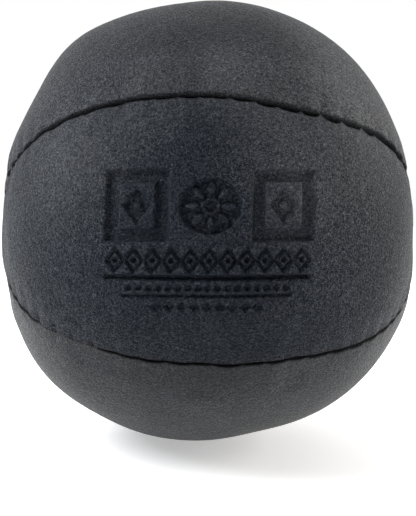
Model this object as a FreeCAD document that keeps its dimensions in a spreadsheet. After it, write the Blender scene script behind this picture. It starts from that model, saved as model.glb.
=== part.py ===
"""Palm-size leather medicine ball: six sewn leather gores, fibre stuffing and a weighted sand core.

The frame, in millimetres: the origin is the ball's centre, X runs from pole to pole (the points where
the six gores meet), the stamped gore faces -Y and Z is up. A seam or gore is placed by its angle
about X, counted from -Y towards +Z.
"""
import FreeCAD, Part
import math
import os

import Sketcher

SIZES = {
    # the outside of the ball
    "pole_to_pole": 63.5,
    "girth_dia": 67.8,
    "crown_arc": 37.0,
    "shoulder_arc": 24.0,
    "pole_arc": 45.0,
    # the leather gores
    "gore_count": 6,
    "leather": 1.4,
    "lining": 0.4,
    "seam_clearance": 0.1,
    "edge_round": 0.6,
    "tip_radius": 2.0,
    "allowance": 4.0,
    "allowance_end": 8.0,
    # the sewing
    "thread_dia": 0.7,
    "hole_dia": 0.9,
    "stitch_pitch": 3.2,
    "stitch_depth": 3.2,
    "closing_depth": 2.5,
    "corner_bend": 0.5,
    "tie_length": 8.0,
    "tie_knot_dia": 1.4,
    # the filling
    "packing_gap": 0.1,
    "core_dia": 40.0,
    "canvas": 0.6,
    "neck_dia": 6.0,
    "neck_length": 4.6,
    "twine_dia": 0.8,
    "twine_knot_dia": 2.4,
    "tie_recess": 5.0,
}
STEP_FOLDER = "parts"
GORES = {
    "panel_front": 0,
    "panel_upper_front": 60,
    "panel_upper_back": 120,
    "panel_back": 180,
    "panel_lower_back": 240,
    "panel_lower_front": 300,
}
SEAMS = {
    "closing_seam_thread": 30,
    "upper_seam_thread": 90,
    "upper_back_seam_thread": 150,
    "lower_back_seam_thread": 210,
    "lower_seam_thread": 270,
    "front_lower_seam_thread": 330,
}
CLOSING_SEAM_ANGLE = 30
X_AXIS = FreeCAD.Vector(1, 0, 0)
# from the middle of a gore to its seam plane, less half the clearance at the girth
HALF_TURN = "(180 deg / sizes.gore_count - atan(sizes.seam_clearance / sizes.girth_dia))"
LINING_DEPTH = "sizes.leather + sizes.packing_gap"
STUFFING_DEPTH = "sizes.leather + sizes.lining + 2 * sizes.packing_gap"

doc = FreeCAD.newDocument("leather_medicine_ball")
sheet = doc.addObject("Spreadsheet::Sheet", "sizes")
for row, (alias, value) in enumerate(SIZES.items(), start=1):
    sheet.set(f"A{row}", alias)
    sheet.set(f"B{row}", str(value))
    sheet.setAlias(f"B{row}", alias)
doc.recompute()


def size(alias):
    return float(sheet.get(alias))


def turned(angle):
    """The placement that carries a piece built about +Y to its angle about the pole axis."""
    return FreeCAD.Placement(FreeCAD.Vector(), FreeCAD.Rotation(X_AXIS, 180 - angle))


# ---------------------------------------------------------------- the ball's profile, pole to girth


def profile_centres():
    """Centres (x, rho) of the crown, shoulder and pole arcs, which are tangent in that order."""
    crown = (0.0, size("girth_dia") / 2 - size("crown_arc"))
    pole = (size("pole_to_pole") / 2 - size("pole_arc"), 0.0)
    from_crown = size("crown_arc") - size("shoulder_arc")
    from_pole = size("pole_arc") - size("shoulder_arc")
    dx, dy = pole[0] - crown[0], pole[1] - crown[1]
    apart = math.hypot(dx, dy)
    along = (from_crown**2 - from_pole**2 + apart**2) / (2 * apart)
    across = math.sqrt(from_crown**2 - along**2)
    shoulder = (
        crown[0] + (along * dx - across * dy) / apart,
        crown[1] + (along * dy + across * dx) / apart,
    )
    if shoulder[1] < 0:
        shoulder = (
            crown[0] + (along * dx + across * dy) / apart,
            crown[1] + (along * dy - across * dx) / apart,
        )
    return {"crown": crown, "shoulder": shoulder, "pole": pole}


def profile_arcs(depth, end_rho):
    """Arcs (name, centre, radius, start angle, end angle) of the profile at a depth below the outside.

    Angles are in radians and run from the pole up to the girth plane, x = 0.
    """
    centre = profile_centres()
    crown, shoulder, pole = centre["crown"], centre["shoulder"], centre["pole"]
    bend = math.atan2(shoulder[1] - crown[1], shoulder[0] - crown[0])
    turn = math.atan2(shoulder[1] - pole[1], shoulder[0] - pole[0])
    pole_radius = size("pole_arc") - depth
    return [
        ("pole", pole, pole_radius, math.asin(end_rho / pole_radius), turn),
        ("shoulder", shoulder, size("shoulder_arc") - depth, turn, bend),
        ("crown", crown, size("crown_arc") - depth, bend, math.pi / 2),
    ]


def point_on_profile(depth, distance):
    """Point (x, rho) at a distance from the girth plane, along the profile at a depth."""
    left = distance
    for _, centre, radius, start, end in reversed(profile_arcs(depth, 0.0)):
        length = radius * (end - start)
        if left <= length:
            angle = end - left / radius
            return centre[0] + radius * math.cos(angle), centre[1] + radius * math.sin(angle)
        left -= length
    raise ValueError(f"{distance} mm is past the pole")


# ---------------------------------------------------------------- sketches


def origin_plane(body, role):
    return next(f for f in body.Origin.OriginFeatures if f.Role == role)


def sketch_on(body, name, role="XY_Plane", tilt=0):
    """A sketch on one of the body's own planes. tilt, if given, is an expression for its turn about X."""
    sketch = body.newObject("Sketcher::SketchObject", name)
    sketch.AttachmentSupport = [(origin_plane(body, role), "")]
    sketch.MapMode = "FlatFace"
    if tilt:
        sketch.AttachmentOffset = FreeCAD.Placement(FreeCAD.Vector(), FreeCAD.Rotation(X_AXIS, 1))
        sketch.setExpression(".AttachmentOffset.Rotation.Angle", tilt)
        sketch.recompute()
    return sketch


def bind(sketch, constraint, name, expression):
    """Adds a dimension and ties it to cells of the sheet."""
    index = sketch.addConstraint(constraint)
    sketch.renameConstraint(index, name)
    sketch.setExpression(f"Constraints.{name}", expression)


def draw_profile(sketch, tag, depth_expression, depth, end_expression, end_rho):
    """Draws the three tangent arcs of the profile at a depth. Returns their geometry numbers."""
    number = {}
    for name, centre, radius, start, end in profile_arcs(depth, end_rho):
        circle = Part.Circle(FreeCAD.Vector(*centre, 0), FreeCAD.Vector(0, 0, 1), radius)
        number[name] = sketch.addGeometry(Part.ArcOfCircle(circle, start, end), False)
    crown, shoulder, pole = number["crown"], number["shoulder"], number["pole"]
    start, end, middle, origin, h_axis, v_axis = 1, 2, 3, -1, -1, -2
    sketch.addConstraint(Sketcher.Constraint("Tangent", pole, end, shoulder, start))
    sketch.addConstraint(Sketcher.Constraint("Tangent", shoulder, end, crown, start))
    sketch.addConstraint(Sketcher.Constraint("PointOnObject", crown, middle, v_axis))
    sketch.addConstraint(Sketcher.Constraint("PointOnObject", crown, end, v_axis))
    sketch.addConstraint(Sketcher.Constraint("PointOnObject", pole, middle, h_axis))
    for name, arc in number.items():
        dimension = Sketcher.Constraint("Radius", arc, size(f"{name}_arc") - depth)
        bind(sketch, dimension, f"{tag}_{name}", f"sizes.{name}_arc - ({depth_expression})")
    girth = Sketcher.Constraint("DistanceY", origin, 1, crown, end, size("girth_dia") / 2 - depth)
    bind(sketch, girth, f"{tag}_girth", f"sizes.girth_dia / 2 - ({depth_expression})")
    inset = size("pole_arc") - size("pole_to_pole") / 2
    bind(
        sketch,
        Sketcher.Constraint("DistanceX", pole, middle, origin, 1, inset),
        f"{tag}_pole_inset",
        "sizes.pole_arc - sizes.pole_to_pole / 2",
    )
    tip = Sketcher.Constraint("DistanceY", origin, 1, pole, start, end_rho)
    bind(sketch, tip, f"{tag}_tip", end_expression)
    return number


def line_between(sketch, first, second):
    """A line joining two end points, each given as (geometry number, point number)."""
    a, b = sketch.getPoint(*first), sketch.getPoint(*second)
    line = sketch.addGeometry(Part.LineSegment(a, b), False)
    sketch.addConstraint(Sketcher.Constraint("Coincident", line, 1, *first))
    sketch.addConstraint(Sketcher.Constraint("Coincident", line, 2, *second))
    return line


def band_sketch(body, name, outer, inner, tip, tilt=0):
    """Half a shell's section: the band between two depths, from the girth plane to a tip radius.

    outer, inner and tip are expressions; a bare 0 stands for the outside of the ball.
    """
    sketch = sketch_on(body, name, tilt=tilt)
    tip_rho = value_of(tip)
    outside = draw_profile(sketch, "outer", outer, value_of(outer), tip, tip_rho)
    inside = draw_profile(sketch, "inner", inner, value_of(inner), tip, tip_rho)
    line_between(sketch, (outside["crown"], 2), (inside["crown"], 2))
    line_between(sketch, (outside["pole"], 1), (inside["pole"], 1))
    return sketch


def value_of(expression):
    """The number that an expression of sheet cells stands for."""
    return float(sheet.evalExpression(expression))


# ---------------------------------------------------------------- the leather gores


def stitch_places(depth):
    """Points (x, rho) of the stitch holes between the girth plane and the end of the allowance."""
    pitch = size("stitch_pitch")
    places = []
    while True:
        point = point_on_profile(depth, (len(places) + 0.5) * pitch)
        if point[1] < size("allowance_end") + size("hole_dia"):
            return places
        places.append(point)


def seam_depth(seam_angle):
    closing = seam_angle % 360 == CLOSING_SEAM_ANGLE
    return "closing_depth" if closing else "stitch_depth"


def hole_sketch(body, name, depth, tilt):
    """The stitch holes of one allowance, all of one diameter."""
    sketch = sketch_on(body, name, tilt=tilt)
    radius = size("hole_dia") / 2
    for number, (x, rho) in enumerate(stitch_places(size(depth))):
        circle = Part.Circle(FreeCAD.Vector(x, rho, 0), FreeCAD.Vector(0, 0, 1), radius)
        sketch.addGeometry(circle, False)
        if number:
            sketch.addConstraint(Sketcher.Constraint("Equal", 0, number))
    bind(sketch, Sketcher.Constraint("Radius", 0, radius), "hole_radius", "sizes.hole_dia / 2")
    return sketch


def gore(label, angle):
    """One leather gore: its skin, and along each side an allowance turned in and punched for the thread."""
    body = doc.addObject("PartDesign::Body", label)
    skin = body.newObject("PartDesign::Revolution", "skin")
    section = band_sketch(body, "skin_section", "0", "sizes.leather", "sizes.tip_radius")
    skin.Profile = section
    skin.ReferenceAxis = (section, ["H_Axis"])
    skin.Midplane = True
    skin.setExpression("Angle", f"2 * {HALF_TURN}")
    made = [skin]

    for side, sign in (("left", 1), ("right", -1)):
        tilt = f"{sign} * {HALF_TURN}"
        flap = body.newObject("PartDesign::Pad", f"allowance_{side}")
        flap.Profile = band_sketch(
            body,
            f"allowance_{side}_section",
            "sizes.leather / 2",
            "sizes.leather + sizes.allowance",
            "sizes.allowance_end",
            tilt,
        )
        flap.setExpression("Length", "sizes.leather")
        flap.Reversed = sign > 0
        made.append(flap)

    for side, sign in (("left", 1), ("right", -1)):
        tilt = f"{sign} * {HALF_TURN}"
        seam_angle = angle - sign * 180 / size("gore_count")
        punched = body.newObject("PartDesign::Pocket", f"stitch_holes_{side}")
        punched.Profile = hole_sketch(body, f"stitch_holes_{side}_plan", seam_depth(seam_angle), tilt)
        punched.setExpression("Length", "2 * sizes.leather")
        punched.Reversed = sign < 0
        made.append(punched)

    tie_hole = body.newObject("PartDesign::Pocket", "tie_hole")
    plan = sketch_on(body, "tie_hole_plan", "XZ_Plane")
    place = FreeCAD.Vector(size("pole_to_pole") / 2 - size("leather") / 2, 0, 0)
    circle = Part.Circle(place, FreeCAD.Vector(0, 0, 1), size("hole_dia") / 2)
    plan.addGeometry(circle, False)
    plan.addConstraint(Sketcher.Constraint("PointOnObject", 0, 3, -1))
    radius = Sketcher.Constraint("Radius", 0, size("hole_dia") / 2)
    bind(plan, radius, "hole_radius", "sizes.hole_dia / 2")
    across = Sketcher.Constraint("DistanceX", -1, 1, 0, 3, place.x)
    bind(plan, across, "across", "sizes.pole_to_pole / 2 - sizes.leather / 2")
    tie_hole.Profile = plan
    tie_hole.setExpression("Length", "sizes.tie_length / 2 + sizes.thread_dia")
    made.append(tie_hole)

    whole = body.newObject("PartDesign::Mirrored", "other_half")
    whole.Originals = made
    whole.MirrorPlane = (origin_plane(body, "YZ_Plane"), [""])
    body.Tip = whole
    doc.recompute()

    rounded = body.newObject("PartDesign::Fillet", "rounded_edges")
    rounded.Base = (whole, long_outer_edges(whole.Shape))
    rounded.setExpression("Radius", "sizes.edge_round")
    body.Tip = rounded
    body.Placement = turned(angle)
    return body


def lining(label, angle):
    """The canvas lining cemented inside one gore, cut back clear of its two allowances."""
    body = doc.addObject("PartDesign::Body", label)
    cloth = body.newObject("PartDesign::Revolution", "cloth")
    depths = LINING_DEPTH, f"{LINING_DEPTH} + sizes.lining"
    section = band_sketch(body, "cloth_section", *depths, "sizes.allowance_end")
    cloth.Profile = section
    cloth.ReferenceAxis = (section, ["H_Axis"])
    cloth.Midplane = True
    cloth.setExpression("Angle", f"2 * {HALF_TURN}")
    made = [cloth]
    for side, sign in (("left", 1), ("right", -1)):
        cut = body.newObject("PartDesign::Pocket", f"cut_back_{side}")
        cut.Profile = band_sketch(
            body,
            f"cut_back_{side}_section",
            "0",
            "sizes.leather + sizes.allowance",
            "sizes.tip_radius",
            f"{sign} * {HALF_TURN}",
        )
        cut.setExpression("Length", "sizes.leather + sizes.packing_gap")
        cut.Reversed = sign < 0
        made.append(cut)
    whole = body.newObject("PartDesign::Mirrored", "other_half")
    whole.Originals = made
    whole.MirrorPlane = (origin_plane(body, "YZ_Plane"), [""])
    body.Tip = whole
    body.Placement = turned(angle)
    return body


def long_outer_edges(shape):
    """Names of the edges where a gore's outside meets its two seam planes."""
    outside = {name: (centre, radius) for name, centre, radius, _, _ in profile_arcs(0, 0.0)}
    side = math.pi / size("gore_count")
    found = []
    for number, edge in enumerate(shape.Edges, start=1):
        first, last = edge.ParameterRange
        point = edge.valueAt((first + last) / 2)
        rho = math.hypot(point.y, point.z)
        turn = abs(math.atan2(point.z, point.y))
        on_outside = any(
            abs(math.hypot(abs(point.x) - centre[0], rho - centre[1]) - radius) < 1e-3
            for centre, radius in outside.values()
        )
        if on_outside and abs(turn - side) < 0.01 and edge.Length > size("edge_round"):
            found.append(f"Edge{number}")
    return found


# ---------------------------------------------------------------- the sewing


def running_stitch(depth_alias):
    """One thread of zigzag running stitches through a seam's two allowances, as a swept solid."""
    half = stitch_places(size(depth_alias))
    holes = [(-x, rho) for x, rho in reversed(half)] + half
    reach = size("leather") + size("seam_clearance") + size("thread_dia") / 2
    corners = []
    side = 1
    for x, rho in holes:
        corners.append(FreeCAD.Vector(x, rho, side * reach))
        corners.append(FreeCAD.Vector(x, rho, -side * reach))
        side = -side
    return swept(rounded_path(corners, size("corner_bend")), size("thread_dia") / 2)


def rounded_path(corners, radius):
    """Straight runs between the corners, with an arc of one radius at each corner."""
    edges = []
    at = corners[0]
    for before, corner, after in zip(corners, corners[1:], corners[2:]):
        back = (before - corner).normalize()
        ahead = (after - corner).normalize()
        setback = radius / math.tan(back.getAngle(ahead) / 2)
        enter = corner + back * setback
        leave = corner + ahead * setback
        middle_way = (back + ahead).normalize()
        centre = corner + middle_way * (radius / math.sin(back.getAngle(ahead) / 2))
        middle = centre - middle_way * radius
        edges.append(Part.LineSegment(at, enter).toShape())
        edges.append(Part.Arc(enter, middle, leave).toShape())
        at = leave
    edges.append(Part.LineSegment(at, corners[-1]).toShape())
    return Part.Wire(edges)


def swept(path, radius):
    start = path.Edges[0]
    direction = start.tangentAt(start.FirstParameter)
    section = Part.Wire(Part.makeCircle(radius, start.valueAt(start.FirstParameter), direction))
    return path.makePipeShell([section], True, False)


def seam_thread(label, angle):
    thread = doc.addObject("Part::Feature", label)
    thread.Shape = running_stitch(seam_depth(angle))
    thread.Placement = turned(angle)
    return thread


def pole_tie(label, sign):
    """Three short threads that cross at a pole and draw the six tips together, with their knot."""
    bars = []
    for number in range(int(size("gore_count")) // 2):
        bar = doc.addObject("Part::Cylinder", f"{label}_bar_{number}")
        bar.setExpression("Radius", "sizes.thread_dia / 2")
        bar.setExpression("Height", "sizes.tie_length")
        turn = number * 360 / size("gore_count")
        along = FreeCAD.Vector(0, math.cos(math.radians(turn)), math.sin(math.radians(turn)))
        bar.Placement = FreeCAD.Placement(
            along * (-size("tie_length") / 2),
            FreeCAD.Rotation(FreeCAD.Vector(0, 0, 1), along),
        )
        bars.append(bar)
    knot = doc.addObject("Part::Sphere", f"{label}_knot")
    knot.setExpression("Radius", "sizes.tie_knot_dia / 2")
    tie = doc.addObject("Part::MultiFuse", label)
    tie.Shapes = [*bars, knot]
    reach = size("pole_to_pole") / 2 - size("leather") / 2
    tie.Placement = FreeCAD.Placement(X_AXIS * (sign * reach), FreeCAD.Rotation())
    return tie


# ---------------------------------------------------------------- the filling


def stuffing_half(label, with_neck):
    """Half of the fibre stuffing: a cup round the core bag, slotted where the allowances stand in it."""
    body = doc.addObject("PartDesign::Body", label)
    sketch = sketch_on(body, "stuffing_section")
    depth, recess = value_of(STUFFING_DEPTH), value_of("sizes.tie_recess")
    outside = draw_profile(sketch, "outer", STUFFING_DEPTH, depth, "sizes.tie_recess", recess)

    cavity = size("core_dia") / 2 + size("packing_gap")
    knot_reach = size("neck_dia") / 2 + size("twine_knot_dia") + size("packing_gap")
    neck = knot_reach if with_neck else 0.0
    floor_x = size("core_dia") / 2 + size("neck_length") + size("packing_gap") if with_neck else cavity
    low = math.asin(neck / cavity)
    circle = Part.Circle(FreeCAD.Vector(), FreeCAD.Vector(0, 0, 1), cavity)
    hollow = sketch.addGeometry(Part.ArcOfCircle(circle, low, math.pi / 2), False)
    sketch.addConstraint(Sketcher.Constraint("Coincident", hollow, 3, -1, 1))
    sketch.addConstraint(Sketcher.Constraint("PointOnObject", hollow, 2, -2))
    wall = Sketcher.Constraint("Radius", hollow, cavity)
    bind(sketch, wall, "cavity", "sizes.core_dia / 2 + sizes.packing_gap")
    line_between(sketch, (outside["crown"], 2), (hollow, 2))

    tip = sketch.getPoint(outside["pole"], 1)
    recess_x = tip.x - size("tie_knot_dia")
    corners = [tip, FreeCAD.Vector(recess_x, tip.y, 0), FreeCAD.Vector(recess_x, 0, 0)]
    if with_neck:
        corners += [FreeCAD.Vector(floor_x, 0, 0), FreeCAD.Vector(floor_x, neck, 0)]
    corners.append(sketch.getPoint(hollow, 1))
    for first, second in zip(corners, corners[1:]):
        sketch.addGeometry(Part.LineSegment(first, second), False)

    cup = body.newObject("PartDesign::Revolution", "cup")
    cup.Profile = sketch
    cup.ReferenceAxis = (sketch, ["H_Axis"])
    cup.Angle = 360

    slot = body.newObject("PartDesign::Pocket", "slot")
    slot.Profile = band_sketch(
        body,
        "slot_section",
        "sizes.leather / 2",
        "sizes.leather + sizes.allowance + sizes.packing_gap",
        "sizes.allowance_end - sizes.packing_gap",
        "180 deg / sizes.gore_count",
    )
    slot.Midplane = True
    width = "2 * (sizes.leather + sizes.seam_clearance + sizes.thread_dia + sizes.packing_gap)"
    slot.setExpression("Length", width)

    slots = body.newObject("PartDesign::PolarPattern", "slots")
    slots.Originals = [slot]
    slots.Axis = (origin_axis(body, "X_Axis"), [""])
    slots.Angle = 360
    slots.setExpression("Occurrences", "sizes.gore_count")
    body.Tip = slots
    if not with_neck:
        body.Placement = FreeCAD.Placement(
            FreeCAD.Vector(), FreeCAD.Rotation(FreeCAD.Vector(0, 0, 1), 180)
        )
    return body


def origin_axis(body, role):
    return next(f for f in body.Origin.OriginFeatures if f.Role == role)


def neck_and_ball(name, radius_expression, neck_expression, length_expression):
    """A ball with a round neck on its +X side, from the bound radii and length."""
    ball = doc.addObject("Part::Sphere", f"{name}_ball")
    ball.setExpression("Radius", radius_expression)
    neck = doc.addObject("Part::Cylinder", f"{name}_neck")
    neck.Placement = FreeCAD.Placement(
        FreeCAD.Vector(), FreeCAD.Rotation(FreeCAD.Vector(0, 0, 1), X_AXIS)
    )
    neck.setExpression("Radius", neck_expression)
    neck.setExpression("Height", length_expression)
    joined = doc.addObject("Part::MultiFuse", name)
    joined.Shapes = [ball, neck]
    return joined


def core_bag():
    """A canvas square gathered round the sand: a round bag with a short open neck."""
    reach = "sizes.core_dia / 2 + sizes.neck_length"
    outside = neck_and_ball("bag_outside", "sizes.core_dia / 2", "sizes.neck_dia / 2", reach)
    inside = neck_and_ball(
        "bag_inside",
        "sizes.core_dia / 2 - sizes.canvas",
        "sizes.neck_dia / 2 - sizes.canvas",
        reach + " + sizes.canvas",
    )
    bag = doc.addObject("Part::Cut", "core_bag")
    bag.Base = outside
    bag.Tool = inside
    return bag


def core_sand():
    """The sand, which fills the bag and the start of its neck."""
    return neck_and_ball(
        "core_sand",
        "sizes.core_dia / 2 - sizes.canvas - sizes.packing_gap",
        "sizes.neck_dia / 2 - sizes.canvas - sizes.packing_gap",
        "sizes.core_dia / 2 + sizes.neck_length / 2",
    )


def core_twine():
    """Three turns of twine that close the bag's neck, drawn into one knot."""
    middle = size("core_dia") / 2 + size("neck_length") / 2
    parts = []
    for number in range(3):
        turn = doc.addObject("Part::Torus", f"twine_turn_{number}")
        turn.setExpression("Radius1", "sizes.neck_dia / 2 + sizes.twine_dia / 2")
        turn.setExpression("Radius2", "sizes.twine_dia / 2")
        across = FreeCAD.Rotation(FreeCAD.Vector(0, 0, 1), X_AXIS)
        x = middle + (number - 1) * 1.05 * size("twine_dia")
        turn.Placement = FreeCAD.Placement(X_AXIS * x, across)
        parts.append(turn)
    knot = doc.addObject("Part::Sphere", "twine_knot")
    knot.setExpression("Radius", "sizes.twine_knot_dia / 2")
    rho = size("neck_dia") / 2 + size("twine_knot_dia") / 2
    knot.Placement = FreeCAD.Placement(FreeCAD.Vector(middle, rho, 0), FreeCAD.Rotation())
    twine = doc.addObject("Part::MultiFuse", "core_twine")
    twine.Shapes = [*parts, knot]
    return twine


# ---------------------------------------------------------------- build, check and write


def build():
    pieces = [gore(label, angle) for label, angle in GORES.items()]
    pieces += [lining(label.replace("panel", "lining"), angle) for label, angle in GORES.items()]
    pieces += [seam_thread(label, angle) for label, angle in SEAMS.items()]
    pieces += [pole_tie("pole_tie_left", -1), pole_tie("pole_tie_right", 1)]
    pieces += [stuffing_half("stuffing_left", False), stuffing_half("stuffing_right", True)]
    pieces += [core_bag(), core_twine(), core_sand()]
    doc.recompute()
    return pieces


def check(pieces):
    broken = [o.Name for o in doc.Objects if {"Invalid", "Error"} & set(o.State)]
    if broken:
        raise RuntimeError(f"failed objects: {broken}")
    for piece in pieces:
        shape = piece.Shape
        if shape.isNull() or not shape.isValid() or not shape.Solids:
            raise RuntimeError(f"{piece.Label} has no valid solid")
        box = shape.BoundBox
        print(
            f"{piece.Label}: {len(shape.Solids)} solids, {shape.Volume:.1f} mm3, "
            f"{box.XLength:.1f} x {box.YLength:.1f} x {box.ZLength:.1f}"
        )


def write(pieces):
    os.makedirs(STEP_FOLDER, exist_ok=True)
    for piece in pieces:
        piece.Shape.exportStep(os.path.join(STEP_FOLDER, piece.Label + ".step"))


made_pieces = build()
check(made_pieces)
write(made_pieces)
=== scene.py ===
import math
import random

import bpy
import numpy as np
from mathutils import Matrix, Vector


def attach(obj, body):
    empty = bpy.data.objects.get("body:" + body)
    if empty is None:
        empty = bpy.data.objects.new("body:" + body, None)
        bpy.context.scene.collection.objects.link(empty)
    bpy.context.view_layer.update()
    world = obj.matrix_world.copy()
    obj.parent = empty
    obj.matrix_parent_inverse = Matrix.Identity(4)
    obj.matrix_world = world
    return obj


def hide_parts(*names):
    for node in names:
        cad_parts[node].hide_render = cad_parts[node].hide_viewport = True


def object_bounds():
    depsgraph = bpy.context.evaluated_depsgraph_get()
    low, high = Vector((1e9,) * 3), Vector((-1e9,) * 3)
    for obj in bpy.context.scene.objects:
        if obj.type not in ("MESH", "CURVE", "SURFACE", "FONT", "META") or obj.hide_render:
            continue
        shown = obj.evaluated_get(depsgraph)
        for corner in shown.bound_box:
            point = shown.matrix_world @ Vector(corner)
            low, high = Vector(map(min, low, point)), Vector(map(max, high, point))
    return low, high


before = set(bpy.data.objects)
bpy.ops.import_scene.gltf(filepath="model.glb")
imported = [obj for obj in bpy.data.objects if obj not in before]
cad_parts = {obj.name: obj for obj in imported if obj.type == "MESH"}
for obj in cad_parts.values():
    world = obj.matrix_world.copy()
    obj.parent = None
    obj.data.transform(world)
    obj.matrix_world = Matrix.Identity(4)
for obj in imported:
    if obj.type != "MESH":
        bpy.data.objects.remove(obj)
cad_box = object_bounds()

# A palm-size leather ball: six hand-stitched gores that meet at a pole on each end of X. Meshes are
# worked out in millimetres and scaled on the way in. A place on the ball is (a, turn): a is the
# distance along a meridian from the girth, positive towards +X, and turn is the angle about X from -Y
# towards +Z. A turn is in radians, but GORES, SEAMS, THREADS and gore_turn are in degrees. q is the
# distance across a gore from its middle, and depth is measured inwards along the smooth ball's normal.

MM = 0.001

# the profile: half its length and height, and the radii of its three arcs
HALF_LENGTH = 31.75
HALF_GIRTH = 33.9
CROWN_ARC = 37.0
SHOULDER_ARC = 24.0
POLE_ARC = 45.0

# the gores: their span, their leather, the allowance that turns in at a seam, the pitch of the stitches,
# and how far from the pole their tips end
GORE_DEGREES = 60.0
HALF_GORE = math.radians(GORE_DEGREES / 2)
LEATHER = 1.4
ALLOWANCE = 2.6
STITCH_PITCH = 3.2
POLE_HOLE = 0.55

# the ornament: how deep it is pressed, where its middle lies along x, and how much it leans
STAMP_DEPTH = 0.75
STAMP_MIDDLE, STAMP_TILT = -1.4, 0.04

GORES = {
    "front": 0.0,
    "upper_front": 60.0,
    "upper_back": 120.0,
    "back": 180.0,
    "lower_back": 240.0,
    "lower_front": 300.0,
}


# ---------------------------------------------------------------- the smooth ball


def profile_table():
    """Distance from the girth, x, rho and normal along one half of the profile, finely sampled."""
    crown = np.array([0.0, HALF_GIRTH - CROWN_ARC])
    pole = np.array([HALF_LENGTH - POLE_ARC, 0.0])
    apart = np.linalg.norm(pole - crown)
    along_unit = (pole - crown) / apart
    across_unit = np.array([-along_unit[1], along_unit[0]])
    from_crown, from_pole = CROWN_ARC - SHOULDER_ARC, POLE_ARC - SHOULDER_ARC
    along = (from_crown**2 - from_pole**2 + apart**2) / (2 * apart)
    across = math.sqrt(from_crown**2 - along**2)
    middle = crown + along_unit * along
    shoulder = max((middle + across_unit * across, middle - across_unit * across), key=lambda c: c[1])
    first_bend = math.atan2(*(shoulder - crown)[::-1])
    second_bend = math.atan2(*(shoulder - pole)[::-1])
    arcs = [
        (crown, CROWN_ARC, math.pi / 2, first_bend),
        (shoulder, SHOULDER_ARC, first_bend, second_bend),
        (pole, POLE_ARC, second_bend, 0.0),
    ]
    columns, travelled = [], 0.0
    for centre, radius, start, end in arcs:
        angle = np.linspace(start, end, 400)
        x = centre[0] + radius * np.cos(angle)
        rho = centre[1] + radius * np.sin(angle)
        columns.append(
            [travelled + radius * (start - angle), x, rho, np.cos(angle), np.sin(angle)]
        )
        travelled += radius * (start - end)
    return np.concatenate([np.array(c) for c in columns], axis=1)


PROFILE = profile_table()
HALF_MERIDIAN = PROFILE[0, -1]


def profile_at(a):
    """x, rho, normal x and normal rho at distances a from the girth."""
    near = np.abs(a)
    x, rho, nx, nr = (np.interp(near, PROFILE[0], column) for column in PROFILE[1:])
    return np.sign(a) * x, rho, np.sign(a) * nx, nr


def place(a, turn, depth):
    """Points in metres at places on the ball, each at a depth. The three broadcast together."""
    x, rho, nx, nr = profile_at(a)
    out = rho - nr * depth
    return np.stack(
        np.broadcast_arrays(x - nx * depth, -out * np.cos(turn), out * np.sin(turn)), axis=-1
    ) * MM


END_A = HALF_MERIDIAN - POLE_HOLE


def bell(distance, width):
    """1 at distance 0, falling away smoothly over width on both sides."""
    return np.exp(-((distance / width) ** 2))


def curve_between(p0, p1, p2, p3, t):
    """The Catmull-Rom curve from p1, at t = 0, to p2, at t = 1."""
    return 0.5 * (2 * p1 + (p2 - p0) * t + (2 * p0 - 5 * p1 + 4 * p2 - p3) * t**2
                  + (3 * p1 - p0 - 3 * p2 + p3) * t**3)


# ---------------------------------------------------------------- seams

# a seam's course is given every COURSE_STEP, a stitch holds both edges for about STITCH_HOLD each way,
# and a seam draws closer over the last CLOSING_LENGTH before a pole
COURSE_STEP, COURSE_KNOTS = 8.0, 13
COURSE_WANDER = 0.35
STITCH_HOLD, STITCH_WANDER = 0.45, 0.35
LAST_STITCH = END_A - 2.0
CLOSING_LENGTH = 22.0


class Edge:
    """One gore's edge at a seam: lip radius, how low it sits, and how it runs between stitches.

    gap is how far it stands back from the sewn line at a stitch, and sag how much further between two.
    A negative sag is an edge that puffs out over the line.
    """

    def __init__(self, lip, drop, sag, gap=0.05):
        self.lip, self.drop, self.sag, self.gap = lip, drop, sag, gap


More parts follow.
